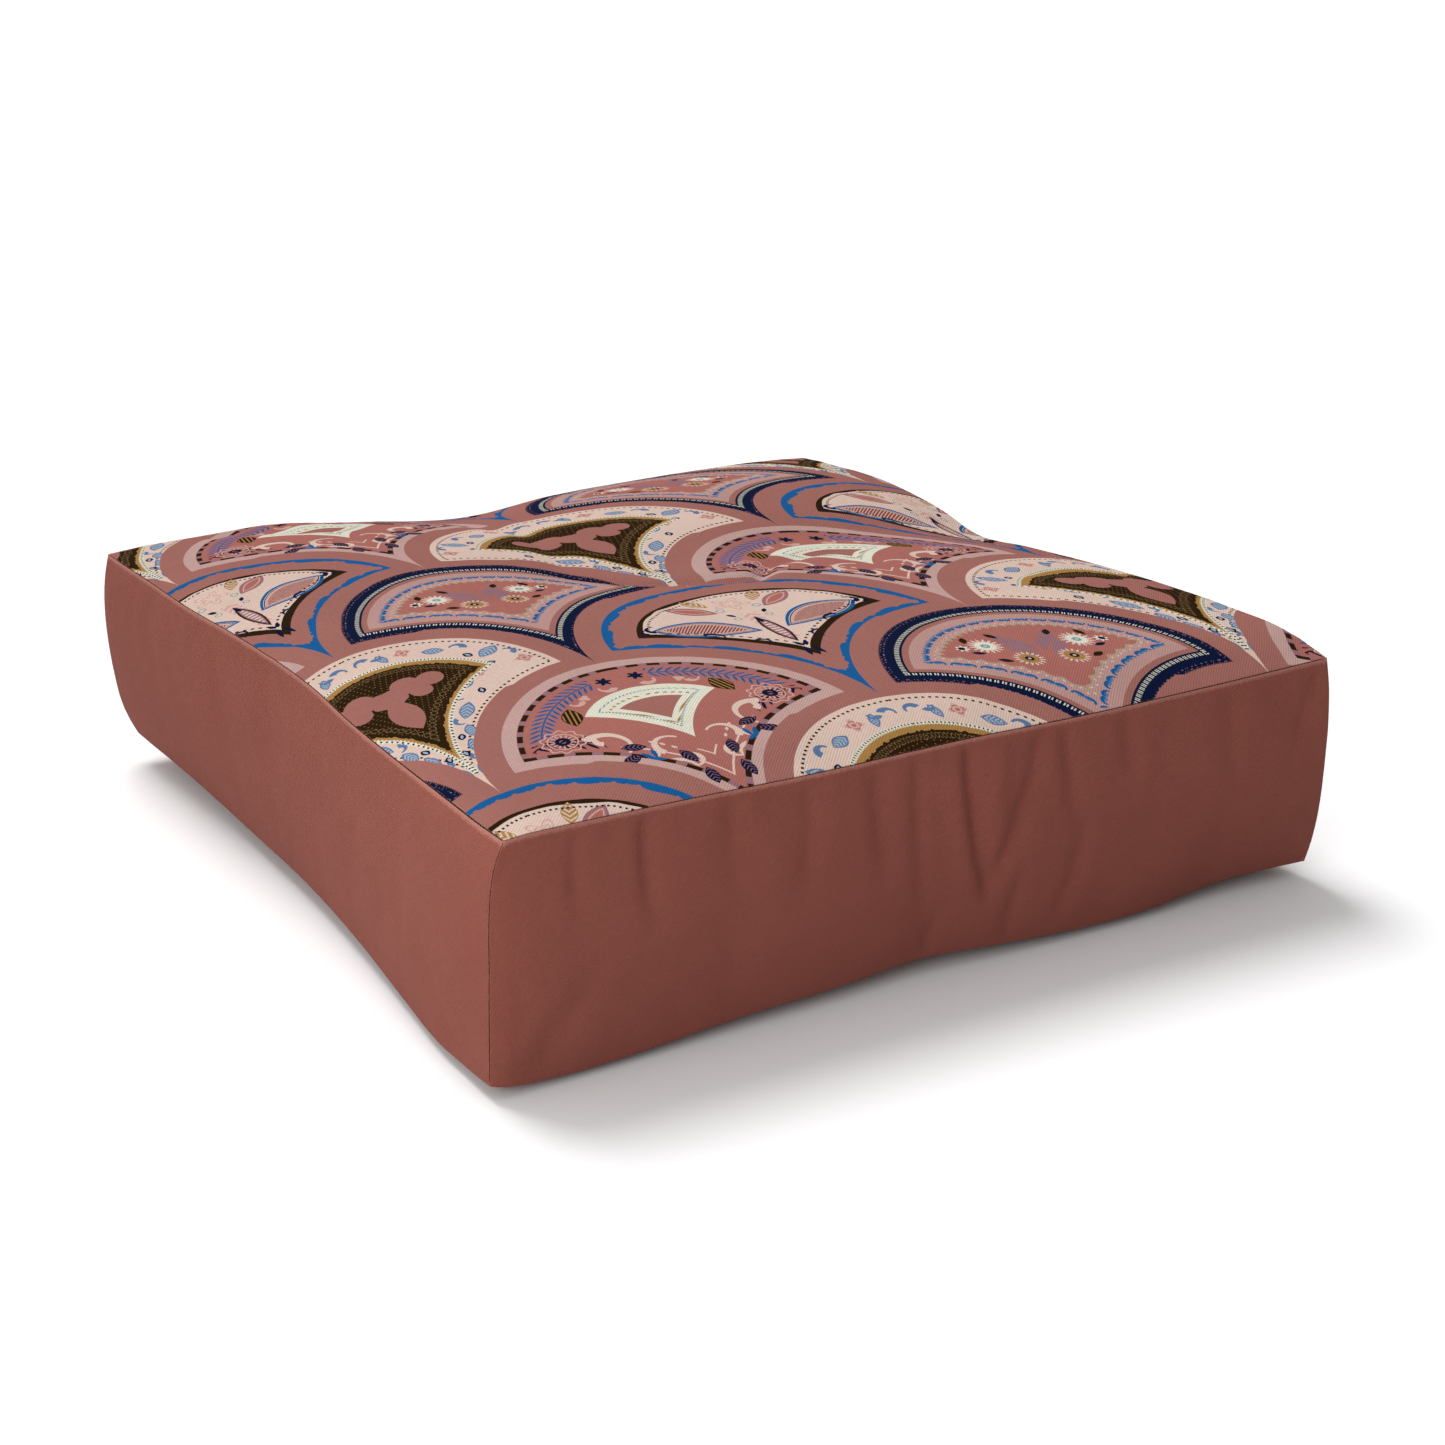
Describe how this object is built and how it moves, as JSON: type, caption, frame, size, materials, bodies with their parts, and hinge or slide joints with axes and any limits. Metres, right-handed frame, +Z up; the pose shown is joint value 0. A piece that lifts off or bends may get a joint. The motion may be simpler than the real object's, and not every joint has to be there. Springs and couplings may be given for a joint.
{
  "type": "floor cushion",
  "caption": "Large square box-edged floor cushion with a printed top, plain sides and a zipped, removable cover over a fibre-filled insert.",
  "frame": {"origin": "on the floor, under the middle of the cushion", "axes": "+Z up; +Y towards the rear side with the zip; the plain front side faces -Y"},
  "size_m": [0.75, 0.7555, 0.203],
  "materials": {
    "printed_twill": "soft matt cotton twill, printed",
    "plain_twill": "soft matt cotton twill, dyed",
    "zip_tape": "woven polyester tape",
    "zip_coil": "satin nylon monofilament",
    "zip_metal": "plated, satin",
    "thread": "spun polyester thread",
    "label": "satin ribbon, blank",
    "liner": "thin unbleached cotton",
    "fill": "loose polyester fibre"
  },
  "bodies": {
    "cover": {"top_panel": "printed_twill", "bottom_panel": "plain_twill", "front_panel": "plain_twill", "right_panel": "plain_twill", "left_panel": "plain_twill", "rear_panel_upper": "plain_twill", "rear_panel_lower": "plain_twill", "zip_tape_upper": "zip_tape", "zip_tape_lower": "zip_tape", "zip_coil_upper": "zip_coil", "zip_coil_lower": "zip_coil", "zip_top_stop_upper": "zip_metal", "zip_top_stop_lower": "zip_metal", "zip_bottom_stop": "zip_metal", "zip_topstitch_upper": "thread", "zip_topstitch_lower": "thread", "top_seam_thread": "thread", "bottom_seam_thread": "thread", "corner_thread_front_left": "thread", "corner_thread_front_right": "thread", "corner_thread_rear_left": "thread", "corner_thread_rear_right": "thread", "care_label": "label", "liner_top": "liner", "liner_bottom": "liner", "liner_front": "liner", "liner_right": "liner", "liner_rear": "liner", "liner_left": "liner", "fibre_fill": "fill"},
    "slider": {"zip_slider": "zip_metal"},
    "pull": {"zip_pull": "zip_metal"}
  },
  "joints": [
    {"name": "zip_slide", "type": "slide", "parent": "cover", "child": "slider", "axis": [-1, 0, 0], "range_m": [0, 0.673], "deforming": ["zip_coil_upper", "zip_coil_lower"]},
    {"name": "pull_swing", "type": "hinge", "parent": "slider", "child": "pull", "pos_m": [0.339, 0.378, 0.0975], "axis": [0, 0, -1], "range_deg": [0, 180]}
  ]
}
